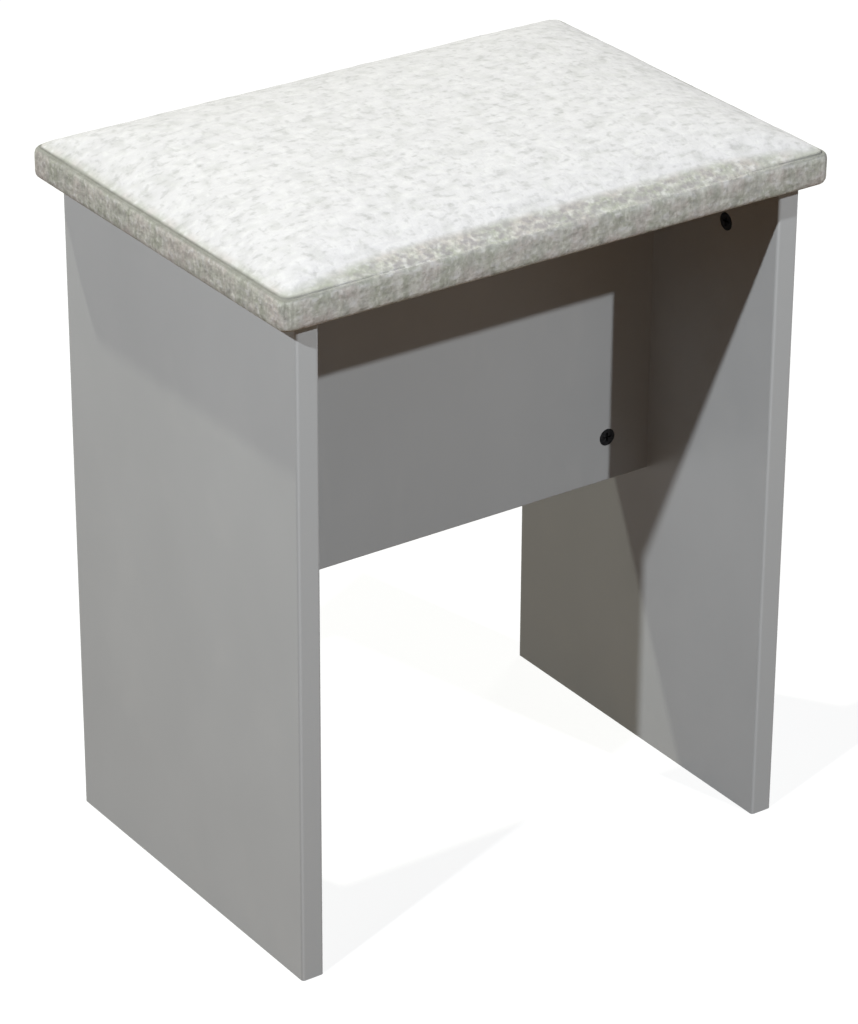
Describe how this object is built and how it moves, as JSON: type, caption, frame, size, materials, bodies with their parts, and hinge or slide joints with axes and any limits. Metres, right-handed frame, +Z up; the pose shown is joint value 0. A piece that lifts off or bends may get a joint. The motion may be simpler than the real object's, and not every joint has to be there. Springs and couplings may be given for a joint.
{
  "type": "upholstered stool",
  "caption": "Low stool with slab sides, a cross panel between them and an overhanging board seat padded and covered in fleecy off-white fabric.",
  "frame": {"origin": "on the floor under the middle of the seat", "axes": "+Z up, +X to the sitter's left when facing forward, front towards -Y, the side panels on the X axis"},
  "size_m": [0.4068, 0.2898, 0.4956],
  "materials": {
    "grey_board": "grey lacquered or foiled board, semi-gloss",
    "raw_board": "bare chipboard",
    "foam": "open-cell foam",
    "fabric": "fleecy off-white weave with fine grey flecks",
    "staple_wire": "bright wire",
    "black_cam": "black, slightly worn",
    "zinc_bolt": "zinc plated",
    "beech_dowel": "bare beech"
  },
  "bodies": {
    "root": {"left_panel": "grey_board", "right_panel": "grey_board", "stretcher": "grey_board", "seat_board": "raw_board", "seat_foam": "foam", "seat_cover": "fabric", "cover_staples": "staple_wire", "left_panel_cams": "black_cam", "right_panel_cams": "black_cam", "stretcher_left_cams": "black_cam", "stretcher_right_cams": "black_cam", "left_seat_bolts": "zinc_bolt", "right_seat_bolts": "zinc_bolt", "left_stretcher_bolts": "zinc_bolt", "right_stretcher_bolts": "zinc_bolt", "left_seat_dowels": "beech_dowel", "right_seat_dowels": "beech_dowel"}
  },
  "joints": []
}
